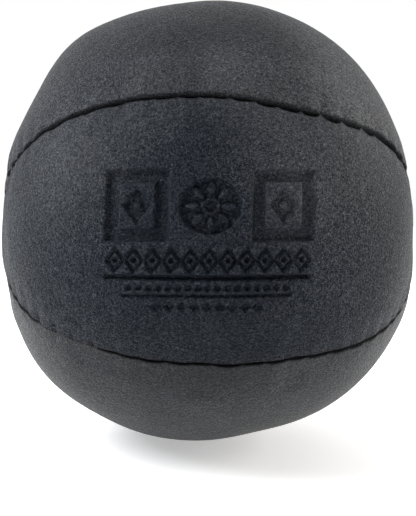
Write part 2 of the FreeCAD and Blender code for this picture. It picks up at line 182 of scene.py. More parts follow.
class Seam:
    """One sewn seam. 'under' and 'over' are the edges towards smaller and larger turns.

    pull is how deep its stitches dent the leather, and phase shifts them all along the seam.
    course is how far the sewn line strays towards larger turns, every COURSE_STEP along the seam.
    Where none is given, the line wanders a little. tight is the stretch of the seam, from one a to
    another, that is drawn quite shut.
    """

    def __init__(self, degrees, seed, under, over, pull, phase=0.0, course=None, tight=None):
        self.turn = math.radians(degrees)
        self.edges = {-1: under, 1: over}
        self.pull, self.tight = pull, tight
        draw = random.Random(seed)
        count = int(2 * END_A / STITCH_PITCH)
        evenly = [(k - count / 2) * STITCH_PITCH + phase for k in range(count + 1)]
        places = [a + draw.uniform(-STITCH_WANDER, STITCH_WANDER) for a in evenly]
        self.stitches = [(a, draw.uniform(0.55, 1.3)) for a in places if abs(a) < LAST_STITCH]
        if course is None:
            course = [draw.uniform(-COURSE_WANDER, COURSE_WANDER) for _ in range(COURSE_KNOTS)]
        self.course = course

    def line(self, a):
        """How far the sewn line strays, as a smooth curve through its course."""
        at = np.clip(a / COURSE_STEP + COURSE_KNOTS // 2, 0, COURSE_KNOTS - 1.001)
        first = np.floor(at).astype(int)
        t = at - first
        knots = np.array([self.course[0], *self.course, self.course[-1]])
        p0, p1, p2, p3 = (knots[np.minimum(first + n, COURSE_KNOTS + 1)] for n in range(4))
        return curve_between(p0, p1, p2, p3, t) * np.clip((END_A - np.abs(a)) / 6, 0, 1)

    def notch(self, a, width):
        """1 at each stitch and 0 between, weighted by how hard that stitch is drawn."""
        total = np.zeros(np.broadcast(a, width).shape)
        for at, strength in self.stitches:
            total = total + strength * bell(a - at, width)
        return total

    def sag(self, a, side):
        """How far an edge stands back from the sewn line: its gap at a stitch, most between two."""
        held = np.zeros(np.shape(a))
        for at, strength in self.stitches:
            held = held + strength * np.exp(-np.abs(a - at) / STITCH_HOLD)
        between = np.clip(1 - held, 0, 1)
        slow, quick = np.sin(a * 0.1 - 0.2), np.sin(a * 1.3 + self.turn)
        uneven = 0.9 + 0.35 * slow + 0.12 * quick
        edge = self.edges[side]
        closing = np.clip((END_A - np.abs(a)) / CLOSING_LENGTH, 0.15, 1)
        return closing * (1 - 0.95 * self.shut(a)) * (edge.gap + edge.sag * between * uneven)

    def shut(self, a):
        """1 on the stretch that is drawn shut and 0 on the rest."""
        if self.tight is None:
            return np.zeros(np.shape(a))
        start, end = self.tight
        return 1 / (1 + np.exp(a - end)) / (1 + np.exp(start - a))


# the courses of the two seams that bound the stamped gore, from the -X pole to the +X pole
ABOVE_FRONT = [0.6, 0.5, -0.4, 0.0, 0.4, 0.5, 0.4, 0.0, -0.2, 0.5, 0.7, 1.1, 0.8]
BELOW_FRONT = [-1.0, -1.2, -1.4, -1.1, -0.3, -0.2, 0.1, 0.2, -0.2, -0.9, -1.5, -1.3, -0.6]
SEAMS = {
    30: Seam(
        30, 11, Edge(0.22, 0.3, 0.82, 0.08), Edge(0.32, 0.2, -0.05, 0.1),
        pull=0.22, phase=0.4, course=ABOVE_FRONT,
    ),
    90: Seam(90, 12, Edge(1.2, 0.6, 0.2), Edge(1.0, 0.6, 0.2), pull=0.4, phase=1.3),
    150: Seam(150, 13, Edge(0.9, 0.5, 0.15), Edge(1.3, 0.6, 0.2), pull=0.45, phase=2.2),
    210: Seam(210, 14, Edge(1.1, 0.6, 0.25), Edge(0.9, 0.5, 0.15), pull=0.35, phase=0.9),
    270: Seam(270, 15, Edge(1.2, 0.6, 0.15), Edge(1.2, 0.6, 0.2), pull=0.4, phase=3.0),
    330: Seam(
        330, 16, Edge(0.2, 0.22, 0.2, 0.16), Edge(0.2, 0.08, 0.08, 0.04),
        pull=0.1, course=BELOW_FRONT, tight=(-26.0, -15.5),
    ),
}


def seam_of(gore_turn, side):
    """The seam on one side of a gore. side is 1 towards larger turns, -1 towards smaller."""
    return SEAMS[int(gore_turn + side * GORE_DEGREES / 2) % 360]


# ---------------------------------------------------------------- the surface


def lumps(a, turn):
    """Low, soft unevenness of packed stuffing, the same on both sides of every seam."""
    x, rho, _, _ = profile_at(a)
    fade = np.clip(rho / 10, 0, 1)
    # height, waves along x, waves round the ball, phase
    waves = [
        (0.05, 0.21, 1, 4.0), (0.06, 0.30, 4, 1.2), (0.06, -0.36, 5, 5.1), (0.05, 0.47, 7, 3.3),
    ]
    return fade * sum(w * np.sin(k * x + m * turn + p) for w, k, m, p in waves)


# soft dents and swellings: a, degrees of turn, radius, height
SWELLINGS = [
    (31.0, 66.0, 9.0, -0.75),
    (0.0, 76.0, 8.0, 0.5),
    (12.0, 75.0, 7.0, 0.3),
    (-20.0, 72.0, 8.0, 0.45),
    (-31.0, 66.0, 8.0, -0.6),
    (-45.0, 0.0, 8.0, -0.3),
    (11.0, -75.0, 10.0, -0.6),
    (39.0, -53.0, 8.0, 0.9),
    (45.0, 0.0, 8.0, -0.3),
    (-18.0, 8.0, 9.0, -0.2),
    (20.0, 4.0, 9.0, 0.15),
    (-8.0, 150.0, 14.0, 0.4),
    (16.0, 200.0, 12.0, -0.35),
    (-20.0, 235.0, 12.0, 0.4),
]

# where the leather is paler or darker, in the same form: a, degrees of turn, radius, and the
# share of the leather's tone that it adds or takes away. On the front of the ball they are
# mostly painted highlights and painted shade; round the back they are uneven dye
DYE_LIGHT_AND_SHADE_SPOTS = [
    (-28.0, 95.0, 9.0, 1.2),
    (22.0, 108.0, 10.0, 0.9),
    (-5.0, 132.0, 12.0, -0.4),
    (-18.0, 165.0, 10.0, 1.1),
    (14.0, 190.0, 12.0, -0.45),
    (28.0, 172.0, 8.0, 1.0),
    (-26.0, 222.0, 9.0, 0.9),
    (6.0, 246.0, 11.0, 0.7),
    (-8.0, 285.0, 10.0, -0.3),
    (30.0, 262.0, 9.0, 0.9),
    (-20.0, 17.0, 7.0, 2.2),
    (-12.0, 9.0, 6.0, -0.4),
    (20.0, 24.0, 6.0, 0.8),
    (-10.0, 25.0, 5.0, 0.7),
    (-5.0, 15.0, 6.0, -0.3),
    (6.0, 24.0, 6.0, 1.0),
    (15.0, 17.0, 7.0, 1.0),
    (-24.0, -2.0, 8.0, 0.2),
    (9.5, 8.0, 4.5, 1.3),
    (26.0, 12.0, 6.0, -0.6),
    (27.0, 0.0, 7.0, -0.4),
    (-14.0, 60.0, 9.0, -0.2),
    (3.0, 56.0, 10.0, -0.6),
    (16.0, 39.0, 7.0, 2.4),
    (18.0, 62.0, 8.0, 0.5),
    (-22.0, 48.0, 7.0, -0.2),
    (0.0, 37.0, 5.0, 2.0),
    (-10.0, 37.0, 4.0, 1.2),
    (-12.0, -18.0, 8.0, -0.2),
    (2.0, -25.0, 8.0, -0.6),
    (0.0, -35.0, 8.0, -0.4),
    (-20.0, -46.0, 7.0, -0.4),
    (8.0, -60.0, 12.0, 1.1),
]


def swell(spots, a, turn):
    """The sum of soft round spots at places on the ball."""
    _, rho, _, _ = profile_at(a)
    total = 0.0
    for at, degrees, radius, amount in spots:
        across = (np.mod(turn - math.radians(degrees) + math.pi, 2 * math.pi) - math.pi) * rho
        total = total + amount * np.exp(-((a - at) ** 2 + across**2) / radius**2)
    return total


class Cover:
    """The whole cover as cloth: pinned at its stitches, cut a little large and blown up by pressure.

    It is simulated SCALE times life size, because the solver is tuned for things the size of a cushion,
    on RINGS rings of points with ACROSS of them to a gore. It starts with a groove at each seam. What is
    kept is how far each place moved out or in, less the broad swelling, which is modelled above, and no
    more than CAP.
    """

    SCALE = 10.0
    GROOVE = 0.6
    RINGS, ACROSS = 92, 22
    SLACK, PRESSURE, FRAMES = 0.012, 3.0, 20
    BROAD, CAP = 5, 0.16

    def __init__(self):
        self.a = np.linspace(-END_A, END_A, self.RINGS)
        self.columns = self.ACROSS * len(GORES)
        self.turns = np.arange(self.columns) * 2 * math.pi / self.columns - HALF_GORE
        self.field = np.zeros((self.RINGS, self.columns))
        self.simulate()

    def simulate(self):
        a, turns = self.a[:, None], self.turns[None, :]
        _, rho, nx, nr = profile_at(a)
        away = np.abs(np.mod(turns, 2 * HALF_GORE) - HALF_GORE) * rho
        rest = place(a, turns, self.GROOVE * np.exp(-away / 2.0)) * self.SCALE
        cloth = closed_loft("cover_cloth", rest, {})
        in_column_order = sorted(SEAMS, key=lambda degrees: (degrees + GORE_DEGREES / 2) % 360)
        sewn = [
            self.nearest_ring(at) * self.columns + n * self.ACROSS
            for n, degrees in enumerate(in_column_order)
            for at, _ in SEAMS[degrees].stitches
        ]
        last_ring = (self.RINGS - 1) * self.columns
        ends = [*range(self.columns), *range(last_ring, last_ring + self.columns + 2)]
        pins = cloth.vertex_groups.new(name="sewn")
        pins.add(sewn + ends, 1.0, "REPLACE")
        solver = cloth.modifiers.new("cover", "CLOTH")
        solver.collision_settings.use_collision = False
        settings = solver.settings
        settings.quality, settings.mass = 6, 0.2
        settings.tension_stiffness = settings.compression_stiffness = 25
        settings.shear_stiffness, settings.bending_stiffness = 10, 12
        settings.vertex_group_mass = "sewn"
        settings.use_pressure, settings.uniform_pressure_force = True, self.PRESSURE
        settings.shrink_min = -self.SLACK
        settings.effector_weights.gravity = 0
        scene = bpy.context.scene
        for number in range(1, self.FRAMES + 1):
            scene.frame_set(number)
        settled = cloth.evaluated_get(bpy.context.evaluated_depsgraph_get()).data
        flat = np.empty(len(settled.vertices) * 3)
        settled.vertices.foreach_get("co", flat)
        moved = flat.reshape(-1, 3)[: rest.size // 3].reshape(rest.shape) - rest
        out = np.stack(np.broadcast_arrays(nx, -nr * np.cos(turns), nr * np.sin(turns)), axis=-1)
        self.field = (moved * out).sum(axis=-1) / self.SCALE / MM
        scene.frame_set(1)
        bpy.data.objects.remove(cloth)
        self.field -= self.broad(self.field)
        self.field = self.CAP * np.tanh(self.field / self.CAP)

    def nearest_ring(self, at):
        """The number of the ring of cloth points nearest to a distance from the girth."""
        return int(np.abs(self.a - at).argmin())

    def broad(self, field):
        """The field smoothed over a few cells each way."""
        for _ in range(self.BROAD):
            field = (np.roll(field, 1, 1) + field + np.roll(field, -1, 1)) / 3
            field[1:-1] = (field[:-2] + field[1:-1] + field[2:]) / 3
        return field

    def at(self, a, turn):
        """The kept movement at places on the ball, between the simulated points."""
        row = np.clip((a + END_A) / (2 * END_A) * (self.RINGS - 1), 0, self.RINGS - 1.001)
        column = np.mod((turn + HALF_GORE) / (2 * math.pi) * self.columns, self.columns)
        i, j = np.floor(row).astype(int), np.floor(column).astype(int) % self.columns
        u, v = row - i, column - np.floor(column)
        k = (j + 1) % self.columns
        low = self.field[i, j] * (1 - v) + self.field[i, k] * v
        high = self.field[i + 1, j] * (1 - v) + self.field[i + 1, k] * v
        return low * (1 - u) + high * u


def room(half):
    """1 where a gore has its full width, and less towards a pole, where its edges run out of room."""
    return np.clip(half / 6, 0, 1)


# how deep a stitch pits the leather where a seam is drawn shut, and the dimple at each pole
TIGHT_PIT = 0.24
DIMPLE_DEPTH, DIMPLE_RADIUS = 1.6, 2.6


def height(gore_turn, a, q):
    """Height of a gore's skin over the smooth ball.

    The skin sits low at each edge, mostly within a millimetre or two of it and a little further in.
    It puckers at each stitch, in a dent that widens and fades inwards.
    """
    _, rho, _, _ = profile_at(a)
    half = rho * HALF_GORE
    turn = math.radians(gore_turn) + q / rho
    total = lumps(a, turn) + swell(SWELLINGS, a, turn) + COVER.at(a, turn)
    width = room(half)
    for side in (-1, 1):
        seam = seam_of(gore_turn, side)
        inwards = np.maximum(half - side * q, 0.0)
        drop, lip = seam.edges[-side].drop, seam.edges[-side].lip
        low = 0.7 * np.exp(-inwards / (1.2 + lip)) + 0.3 * np.exp(-inwards / 6)
        total = total - width * drop * low
        pucker = seam.notch(a, 0.55 + 0.22 * inwards)
        total = total - width * seam.pull * pucker * np.exp(-inwards / (1.3 + lip))
        if seam.tight is not None:
            pit = seam.notch(a, 0.3) * bell(inwards, 0.45)
            total = total - TIGHT_PIT * seam.shut(a) * pit
    return total - DIMPLE_DEPTH * bell(rho, DIMPLE_RADIUS)


# ---------------------------------------------------------------- one gore's mesh


def spacing(limit, fine, coarse, dense_half, blend):
    """Positive positions from 0 to limit, fine as far as dense_half and coarser beyond it."""
    out = [0.0]
    while out[-1] < limit:
        t = min(max((out[-1] - dense_half) / blend, 0.0), 1.0)
        out.append(out[-1] + fine + (coarse - fine) * t)
    return np.array(out) * (limit / out[-1])


def mirrored(values):
    """Values that start at 0, with the same ones negated before them."""
    return np.concatenate([-values[:0:-1], values])


class Section:
    """Where the points of a gore's closed cross-section lie, for every station along the gore."""

    def __init__(self, gore_turn, a, q_steps):
        self.gore_turn, self.a = gore_turn, a
        _, self.rho, _, _ = profile_at(a)
        self.half = self.rho * HALF_GORE
        self.shrink = np.maximum(room(self.half), 0.02)
        self.columns = []
        self.build(q_steps)

    def edge(self, side, depth):
        """Lateral place of this gore's wall at a depth below its edge."""
        seam = seam_of(self.gore_turn, side)
        back = seam.sag(self.a, -side) * bell(depth, 1.3 * self.shrink)
        return side * (self.half + self.shrink * (seam.line(self.a) * side - back))

    def lip(self, side):
        """The radius of the rolled edge: tighter where the seam is drawn shut and towards the poles."""
        seam = seam_of(self.gore_turn, side)
        return seam.edges[-side].lip * self.shrink * (1 - 0.6 * seam.shut(self.a))

    def add(self, q, depth, rides_at):
        """One column of points. rides_at is the lateral place whose skin height they follow."""
        self.columns.append((q, depth, rides_at))

    def wall(self, side, going_up):
        """One edge's outer face, between the foot of its allowance and the top of its rolled lip.

        Returns the lateral place where the lip meets the skin.
        """
        lip = self.lip(side)
        top = self.edge(side, lip) - side * lip
        steps = []
        for depth in np.linspace(ALLOWANCE + LEATHER, 1.6, 5):
            deep = np.maximum(depth * self.shrink, lip)
            steps.append((self.edge(side, deep), deep))
        for angle in np.linspace(0, math.pi / 2, 8)[:-1]:
            deep = lip * (1 - math.sin(angle))
            steps.append((self.edge(side, lip) - side * lip * (1 - math.cos(angle)), deep))
        for q, depth in steps if going_up else reversed(steps):
            self.add(q, depth, top)
        return top

    def flap(self, side, going_up):
        """The turned-in allowance's hidden face, one leather thickness in from the wall."""
        steps = []
        for depth in (ALLOWANCE + LEATHER, LEATHER + 1.0, LEATHER + 0.35):
            steps.append((self.edge(side, LEATHER) - side * LEATHER * self.shrink, depth * self.shrink))
        for q, depth in steps if going_up else reversed(steps):
            self.add(q, depth, q)

    def build(self, q_steps):
        """The whole loop: up one wall, over the skin, down the other wall, and back along the inside."""
        high = self.wall(1, going_up=True)
        start = len(self.columns)
        low = self.edge(-1, self.lip(-1)) + self.lip(-1)
        for t in q_steps[::-1]:
            q = (high + low) / 2 + t * (high - low) / 2
            self.add(q, np.zeros_like(q), q)
        self.skin = (start, len(self.columns))
        self.wall(-1, going_up=False)
        self.flap(-1, going_up=True)
        high = self.edge(1, LEATHER) - (LEATHER + 0.35) * self.shrink
        low = self.edge(-1, LEATHER) + (LEATHER + 0.35) * self.shrink
        for t in np.linspace(-1, 1, 15):
            q = (high + low) / 2 + t * (high - low) / 2
            self.add(q, LEATHER * self.shrink, q)
        self.flap(1, going_up=False)


# points lie at most EDGE_FINE apart at a seam, and spread out to coarse within EDGE_BAND of it
EDGE_BAND, EDGE_FINE = 4.5, 0.24

# how far the worn crest of a lip with its painted highlight, the raw rim of an edge with its painted
# highlight, and the painted shade of a groove reach
CREST_WIDTH, CREST_DEPTH = 0.5, 0.4
RIM_WIDTH, RIM_DEPTH = 0.16, 0.2
GROOVE_DEPTH = 0.35
SEAM_SHADE, RAW_HIGHLIGHT = 0.6, 0.55


def edge_masks(section, along, q, depth):
    """Masks from 0 to 1 of the lips' crests, worn and with a painted highlight, of the painted shade in
    the grooves and in a band along each seam, and of the edges' thin rims.
    """
    crest, seam_shade, rim = np.zeros_like(q), np.zeros_like(q), np.zeros_like(q)
    for side in (-1, 1):
        seam = seam_of(section.gore_turn, side)
        lip = seam.edges[-side].lip
        near = np.abs(section.edge(side, 0.0)[:, None] - q)
        # the worn crest of each lip, which also carries a painted highlight
        crest = np.maximum(crest, bell(near - lip * 0.6, CREST_WIDTH))
        # painted shade: a dark band along the edge at each seam, fading out where the seam is drawn shut
        shaded_band = SEAM_SHADE * (1 - seam.shut(along)) * bell(near, 0.15 + 0.3 * lip)
        seam_shade = np.maximum(seam_shade, shaded_band)
        rim = np.maximum(rim, bell(near - lip * 0.3, RIM_WIDTH))
    crest = crest * np.exp(-depth / CREST_DEPTH)
    # painted shade: darker the deeper into the gap between gores, and in the band along the seam
    groove = np.maximum(1 - np.exp(-depth / GROOVE_DEPTH), seam_shade)
    return crest, groove, rim * np.exp(-depth / RIM_DEPTH)


def gore_mesh(name, gore_turn, fine, coarse, dense_a, dense_q, stamp=None):
    """Builds one gore as a closed leather piece, and stores masks of its seams, lips and stamp.

    Points lie fine apart within dense_a and dense_q of the gore's middle, and coarse apart beyond.
    """
    half = HALF_GIRTH * HALF_GORE
    a = mirrored(spacing(END_A, fine, coarse, dense_half=dense_a, blend=8.0))
    q_in = spacing(half, fine, coarse, dense_half=dense_q, blend=3.0)
    edge_fine = min(coarse, EDGE_FINE)
    q_edge = half - spacing(EDGE_BAND, edge_fine, coarse, dense_half=2.5, blend=1.5)[::-1]
    q_steps = mirrored(np.concatenate([q_in[q_in < q_edge[0] - 0.1], q_edge])) / half
    section = Section(gore_turn, a, q_steps)

    count = len(section.columns)
    q = np.stack([column[0] for column in section.columns], axis=1)
    depth = np.stack([column[1] + 0 * a for column in section.columns], axis=1)
    rides = np.stack([column[2] for column in section.columns], axis=1)
    along = np.repeat(a[:, None], count, axis=1)
    lift = height(gore_turn, along, rides)
    first, last = section.skin
    sunk = np.zeros_like(q)
    if stamp:
        sunk[:, first:last] = stamp(profile_at(along[:, first:last])[0], q[:, first:last])
    turn = math.radians(gore_turn) + q / section.rho[:, None]
    points = place(along, turn, depth - lift + STAMP_DEPTH * sunk)

    crest, groove, rim = edge_masks(section, along, q, depth)
    raw_highlight, burnish_and_shade = np.zeros_like(q), np.zeros_like(q)
    if stamp:
        # the front gore's lower edge: a brownish raw edge, which is also a painted highlight along its
        # rim
        raw_highlight = rim * (q < 0) * RAW_HIGHLIGHT
        # the hot stamp's burn, a little more in the pressed shapes, with painted shade that grows
        # towards the gore's foot
        burnish_and_shade = burnished_and_shaded_area(profile_at(along)[0], q) + 0.15 * sunk
    # the rims of the pressed shapes wear as the lips do, and take the same painted highlight
    crest = np.maximum(crest, 1.6 * sunk * (1 - sunk))
    # painted highlights and painted shade on the front of the ball, uneven dye round the back
    # a quarter of the share, so that a ramp takes in up to 4 times the leather's tone
    fade = (1 + swell(DYE_LIGHT_AND_SHADE_SPOTS, along, turn)) / 4
    masks = {"crest": crest, "groove": groove, "burnish_and_shade": burnish_and_shade, "raw_edge_highlight": raw_highlight, "fade": fade}
    return closed_loft(name, points, masks)


def closed_loft(name, points, masks):
    """A mesh through rows of closed loops, capped by a fan at each end."""
    rows, count, _ = points.shape
    first_cap, last_cap = points[0].mean(axis=0), points[-1].mean(axis=0)
    coords = np.concatenate([points.reshape(-1, 3), [first_cap, last_cap]])
    i = np.arange(rows - 1)[:, None] * count
    j = np.arange(count)[None, :]
    k = (j + 1) % count
    quads = np.stack([i + j, i + k, i + count + k, i + count + j], axis=-1).reshape(-1, 4)
    around = np.arange(count)
    after = (around + 1) % count
    end = (rows - 1) * count
    low = np.stack([np.full_like(around, rows * count), after, around], axis=-1)
    high = np.stack([np.full_like(around, rows * count + 1), end + around, end + after], axis=-1)
    mesh = bpy.data.meshes.new(name)
    mesh.from_pydata(coords.tolist(), [], quads.tolist() + low.tolist() + high.tolist())
    for label, values in masks.items():
        attribute = mesh.attributes.new(label, "FLOAT", "POINT")
        flat = np.concatenate([values.ravel(), [values[0].mean(), values[-1].mean()]])
        attribute.data.foreach_set("value", flat.astype(np.float32))
    mesh.shade_smooth()
    mesh.update()
    obj = bpy.data.objects.new(name, mesh)
    bpy.context.collection.objects.link(obj)
    return obj


# ---------------------------------------------------------------- the stamped ornament


def pressed(distance):
    """1 inside a pressed shape, where the distance is negative, and 0 outside, with a crisp edge."""
    return 1 / (1 + np.exp(np.clip(distance / 0.06, -40, 40)))


def stroke(distance, width):
    """1 on a pressed line along distance 0."""
    return pressed(np.abs(distance) - width / 2)


def lozenge(u, v, half_u, half_v):
    """Roughly the distance from a lozenge's outline, negative inside."""
    return (np.abs(u) / half_u + np.abs(v) / half_v - 1) * half_u * half_v / math.hypot(half_u, half_v)


def petal(u, v, turn, start, length, width):
    """Roughly the distance from a pointed petal that grows outwards, negative inside."""
    along = u * math.cos(turn) + v * math.sin(turn) - start
    t = np.clip(along / length, 0, 1)
    inside = np.abs(v * math.cos(turn) - u * math.sin(turn)) - width * np.sin(math.pi * t) ** 0.8
    return np.where((along > 0) & (along < length), inside, 1.0)


def rosette(u, v):
    """A sunk round field with a raised ring in its middle and eight raised petals round that."""
    r = np.hypot(u, v * 1.1)
    raised = stroke(r - 0.95, 0.35)
    for n in range(8):
        raised = np.maximum(raised, pressed(petal(u, v, n * math.pi / 4, 1.25, 2.0, 0.42)))
    return pressed(r - 3.75) * (1 - 0.8 * raised)


def tile(u, v):
    """A broad sunk border round a sunk lozenge with a raised bead."""
    border = stroke(np.maximum(np.abs(u) - 3.05, np.abs(v) - 3.6), 1.5)
    middle = pressed(lozenge(u, v, 1.75, 2.2)) * (1 - 0.8 * pressed(np.hypot(u, v) - 0.5))
    return np.maximum(border, 0.85 * middle)


def repeats(u, pitch, count):
    """Folds u into one repeat of a band of motifs centred on 0, and says where the band is."""
    return np.mod(u + pitch * count / 2, pitch) - pitch / 2, np.abs(u) < pitch * count / 2


def rule(u, v, half_length, width):
    """A straight pressed line along v = 0."""
    return pressed(np.maximum(np.abs(u) - half_length, np.abs(v) - width / 2))


def ornament(x, q):
    """How hard the generic ornament is pressed at places on the stamped gore, from 0 to 1.

    A rosette stands between two tiles. Below them are bands of lozenges, of beads and of small
    lozenges, with a rule between each band and the next.
    """
    u = x - STAMP_MIDDLE
    v = q - STAMP_TILT * u
    shapes = [rosette(u, v - 3.3), tile(u - 8.95, v - 3.4), tile(u + 8.95, v - 3.4)]
    shapes += [rule(u, v + 5.45, 12.6, 0.5), 0.7 * rule(u, v + 7.75, 10.3, 0.28)]
    fold, here = repeats(u, 2.28, 11)
    ring = lozenge(fold, v + 3.3, 1.0, 1.35)
    shapes.append(here * 0.8 * np.maximum(stroke(ring, 0.34), pressed(np.hypot(fold, v + 3.3) - 0.3)))
    fold, here = repeats(u, 1.2, 17)
    shapes.append(here * 0.6 * pressed(np.hypot(fold, v + 6.75) - 0.38))
    fold, here = repeats(u, 1.55, 9)
    shapes.append(here * 0.5 * pressed(lozenge(fold, v + 9.15, 0.62, 0.62)))
    return np.max(shapes, axis=0)


# the middle and the half sizes of the area that the hot stamp darkened and that painted shade darkens
# towards its foot
BURNISH_X, BURNISH_Q = -3.0, -7.0
BURNISH_HALF_X, BURNISH_HALF_Q = 10.2, 12.5


def burnished_and_shaded_area(x, q):
    """The darker leather that the hot stamp leaves in and around the ornament, most at its foot, where
    it is painted shade as well.
    """
    reach = np.hypot((x - BURNISH_X) / BURNISH_HALF_X, (q - BURNISH_Q) / BURNISH_HALF_Q)
    return (0.43 - 0.016 * q) / (1 + np.exp((reach - 1) * 9))


# ---------------------------------------------------------------- tubes of thread


def tube(name, points, radius, sides=8):
    """A round thread through points, narrower at its two ends."""
    points = np.asarray(points)
    count = len(points)
    tangent = np.gradient(points, axis=0)
    tangent /= np.linalg.norm(tangent, axis=1, keepdims=True)
    normal = np.zeros_like(points)
    guess = np.array([0.0, 0.0, 1.0]) if abs(tangent[0][2]) < 0.9 else np.array([0.0, 1.0, 0.0])
    for i in range(count):
        guess = guess - tangent[i] * guess.dot(tangent[i])
        guess /= np.linalg.norm(guess)
        normal[i] = guess
    binormal = np.cross(tangent, normal)
    angle = np.linspace(0, 2 * math.pi, sides, endpoint=False)[None, :, None]
    ring = np.cos(angle) * normal[:, None] + np.sin(angle) * binormal[:, None]
    size = np.full(count, radius)
    size[0] = size[-1] = radius * 0.45
    loops = points[:, None] + ring * size[:, None, None] * MM
    return closed_loft(name, loops, {})


def smooth_path(corners, steps):
    """Points along a Catmull-Rom curve through the corners."""
    corners = np.asarray(corners, float)
    padded = np.concatenate([[2 * corners[0] - corners[1]], corners, [2 * corners[-1] - corners[-2]]])
    t = np.linspace(0, 1, steps, endpoint=False)[:, None]
    fours = zip(padded, padded[1:], padded[2:], padded[3:])
    return np.concatenate([*(curve_between(*four, t) for four in fours), corners[-1:]])


def seam_thread(name, seam, radius=0.2):
    """One continuous thread that crosses the seam at every stitch and runs hidden between them."""
    corners = []
    side = 1
    for a, strength in seam.stitches:
        _, rho, _, _ = profile_at(np.array([a]))
        middle = float(seam.line(np.array([a]))[0])
        dip = 1.9 + 0.25 * strength
        skew = 0.1 * (strength - 1)
        for q, depth, along in (
            (side * 1.5, dip + 0.9, -0.5),
            (side * 0.7, dip + 0.1, skew - 0.1),
            (0.0, dip - 0.15, skew),
            (-side * 0.7, dip + 0.1, skew + 0.1),
            (-side * 1.5, dip + 0.9, 0.5),
        ):
            corners.append(place(np.array([a + along]), seam.turn + (q + middle) / rho, depth)[0])
        side = -side
    return tube(name, smooth_path(corners, 5), radius)


KNOT_SIZE, KNOT_THICKNESS = 0.42, 0.35
KNOT_THREAD, KNOT_BELOW_POLE = 0.26, 1.25


def pole_knot(name, side):
    """The knot that draws the six tips together: a tight trefoil lying in the pole's dimple."""
    t = np.linspace(0, 2 * math.pi, 90)
    y = KNOT_SIZE * (np.sin(t) + 2 * np.sin(2 * t)) * 0.5
    z = KNOT_SIZE * (np.cos(t) - 2 * np.cos(2 * t)) * 0.5
    x = -KNOT_THICKNESS * np.sin(3 * t)
    reach = HALF_LENGTH - KNOT_BELOW_POLE
    points = np.stack([side * (reach + x), y, z], axis=-1) * MM
    return tube(name, points[:-2], KNOT_THREAD)


# ---------------------------------------------------------------- materials


class Nodes:
    """A small helper that writes node trees in one line per node."""

    def __init__(self, name):
        self.material = bpy.data.materials.new(name)
        self.material.use_nodes = True
        self.tree = self.material.node_tree
        self.shader = self.tree.nodes["Principled BSDF"]

    def node(self, kind, links=None, **values):
        """A new node, with its properties and inputs set by values and its sockets linked by links."""
        made = self.tree.nodes.new(kind)
        for key, value in values.items():
            if hasattr(made, key):
                setattr(made, key, value)
            else:
                made.inputs[key.replace("_", " ")].default_value = value
        for socket, source in (links or {}).items():
            self.tree.links.new(source, made.inputs[socket])
        return made

    def mix(self, kind, a, b, factor):
        """A colour mix. Each of a, b and factor is a socket or a plain value."""
        made = self.tree.nodes.new("ShaderNodeMix")
        made.data_type = "RGBA"
        made.blend_type = kind
        for index, value in ((6, a), (7, b), (0, factor)):
            if isinstance(value, bpy.types.NodeSocket):
                self.tree.links.new(value, made.inputs[index])
            else:
                made.inputs[index].default_value = value
        return made.outputs[2]

    def ramp(self, source, *stops):
        """A ramp through stops of a position and a grey value."""
        made = self.tree.nodes.new("ShaderNodeValToRGB")
        ramp = made.color_ramp
        while len(ramp.elements) < len(stops):
            ramp.elements.new(0.5)
        for element, (position, value) in zip(ramp.elements, stops):
            element.position = position
            element.color = (value, value, value, 1)
        self.tree.links.new(source, made.inputs[0])
        return made.outputs[0]

    def noise(self, spot, scale, detail, roughness=0.5, distortion=0.0):
        """Cloudy noise around 0.5."""
        made = self.node("ShaderNodeTexNoise", spot, Scale=scale, Detail=detail)
        made.inputs["Roughness"].default_value = roughness
        made.inputs["Distortion"].default_value = distortion
        return made.outputs["Fac"]

    def mask(self, label):
        """A mask that gore_mesh stored on the mesh."""
        return self.node("ShaderNodeAttribute", attribute_name=label).outputs["Fac"]

    def bump(self, source, strength, distance, below=None):
        """Bumps by a source that is distance metres high, on top of the bumps below it."""
        made = self.node("ShaderNodeBump", {"Height": source}, Strength=strength, Distance=distance)
        if below:
            self.tree.links.new(below, made.inputs["Normal"])
        return made.outputs["Normal"]

    def set(self, **values):
        """Gives the shader's inputs plain values or links them to sockets."""
        for key, value in values.items():
            socket = self.shader.inputs[key.replace("_", " ")]
            if isinstance(value, bpy.types.NodeSocket):
                self.tree.links.new(value, socket)
            else:
                socket.default_value = value


# the leather where a lip is worn and has a painted highlight, where an edge is cut and has a painted
# highlight, the painted shade in a groove, and where the hot stamp burnt it, with painted shade
LIP_WEAR_AND_HIGHLIGHT = (0.018, 0.0175, 0.0175, 1)
RAW_EDGE_HIGHLIGHT = (0.026, 0.015, 0.012, 1)
GROOVE_SHADE_COLOUR = (0.0003, 0.0005, 0.0011, 1)
BURNT_AND_SHADE_COLOUR = (0.003, 0.0032, 0.0036, 1)


def in_millimetres(n):
    """The object's own coordinates in millimetres, so a texture's scale is in repeats a millimetre."""
    mapping = n.node("ShaderNodeMapping", {"Vector": n.node("ShaderNodeTexCoord").outputs["Object"]})
    mapping.inputs["Scale"].default_value = (1000, 1000, 1000)
    return {"Vector": mapping.outputs[0]}


